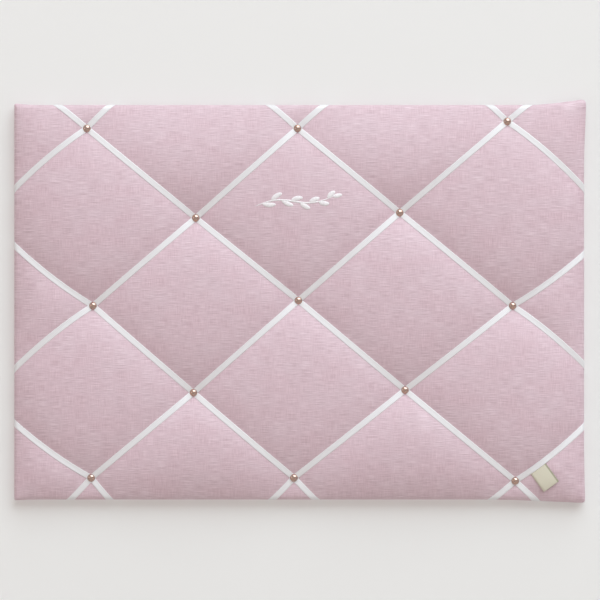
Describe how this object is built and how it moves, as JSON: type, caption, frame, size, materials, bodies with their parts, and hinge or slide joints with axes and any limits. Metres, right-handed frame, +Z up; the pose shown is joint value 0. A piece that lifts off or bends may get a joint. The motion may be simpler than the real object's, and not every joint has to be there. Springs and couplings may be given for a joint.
{
  "type": "french memo board",
  "caption": "Padded linen memo board laced with crossing satin ribbons under dome nails, felt-lined at the back and hung on two swinging D-rings.",
  "frame": {"origin": "centre of the felt lining's outer face, which lies against the wall", "axes": "+X to the right and +Z up as the board hangs, seen from the front; +Y into the wall, front faces -Y"},
  "size_m": [0.6514, 0.0319, 0.4514],
  "materials": {
    "plywood": "sanded poplar plywood",
    "wadding": "polyester fleece",
    "linen": "dusty pink slub linen",
    "satin_ribbon": "white satin",
    "copper_nail": "polished copper plate",
    "staple_wire": "galvanised wire",
    "felt_lining": "pressed felt",
    "hanger_steel": "nickel plate",
    "label_tape": "woven cotton tape"
  },
  "bodies": {
    "board": {"core_board": "plywood", "wadding": "wadding", "linen_cover": "linen", "ribbon_falling_1": "satin_ribbon", "ribbon_falling_2": "satin_ribbon", "ribbon_falling_3": "satin_ribbon", "ribbon_falling_4": "satin_ribbon", "ribbon_falling_5": "satin_ribbon", "ribbon_rising_1": "satin_ribbon", "ribbon_rising_2": "satin_ribbon", "ribbon_rising_3": "satin_ribbon", "ribbon_rising_4": "satin_ribbon", "ribbon_rising_5": "satin_ribbon", "stud_1": "copper_nail", "stud_2": "copper_nail", "stud_3": "copper_nail", "stud_4": "copper_nail", "stud_5": "copper_nail", "stud_6": "copper_nail", "stud_7": "copper_nail", "stud_8": "copper_nail", "stud_9": "copper_nail", "stud_10": "copper_nail", "stud_11": "copper_nail", "stud_12": "copper_nail", "stud_13": "copper_nail", "ribbon_staple_1": "staple_wire", "ribbon_staple_2": "staple_wire", "ribbon_staple_3": "staple_wire", "ribbon_staple_4": "staple_wire", "ribbon_staple_5": "staple_wire", "ribbon_staple_6": "staple_wire", "ribbon_staple_7": "staple_wire", "ribbon_staple_8": "staple_wire", "ribbon_staple_9": "staple_wire", "ribbon_staple_10": "staple_wire", "ribbon_staple_11": "staple_wire", "ribbon_staple_12": "staple_wire", "ribbon_staple_13": "staple_wire", "ribbon_staple_14": "staple_wire", "ribbon_staple_15": "staple_wire", "ribbon_staple_16": "staple_wire", "ribbon_staple_17": "staple_wire", "ribbon_staple_18": "staple_wire", "ribbon_staple_19": "staple_wire", "ribbon_staple_20": "staple_wire", "back_lining": "felt_lining", "hanger_strap_left": "hanger_steel", "hanger_strap_right": "hanger_steel", "hanger_screw_left": "hanger_steel", "hanger_screw_right": "hanger_steel", "label_tab": "label_tape"},
    "ring_left": {"hanger_ring_left": "hanger_steel"},
    "ring_right": {"hanger_ring_right": "hanger_steel"}
  },
  "joints": [
    {"name": "ring_swing_left", "type": "hinge", "parent": "board", "child": "ring_left", "pos_m": [-0.2, -0.0017, 0.1728], "axis": [-1, 0, 0], "range_deg": [0, 165]},
    {"name": "ring_swing_right", "type": "hinge", "parent": "board", "child": "ring_right", "pos_m": [0.2, -0.0017, 0.1728], "axis": [-1, 0, 0], "range_deg": [0, 165]}
  ]
}
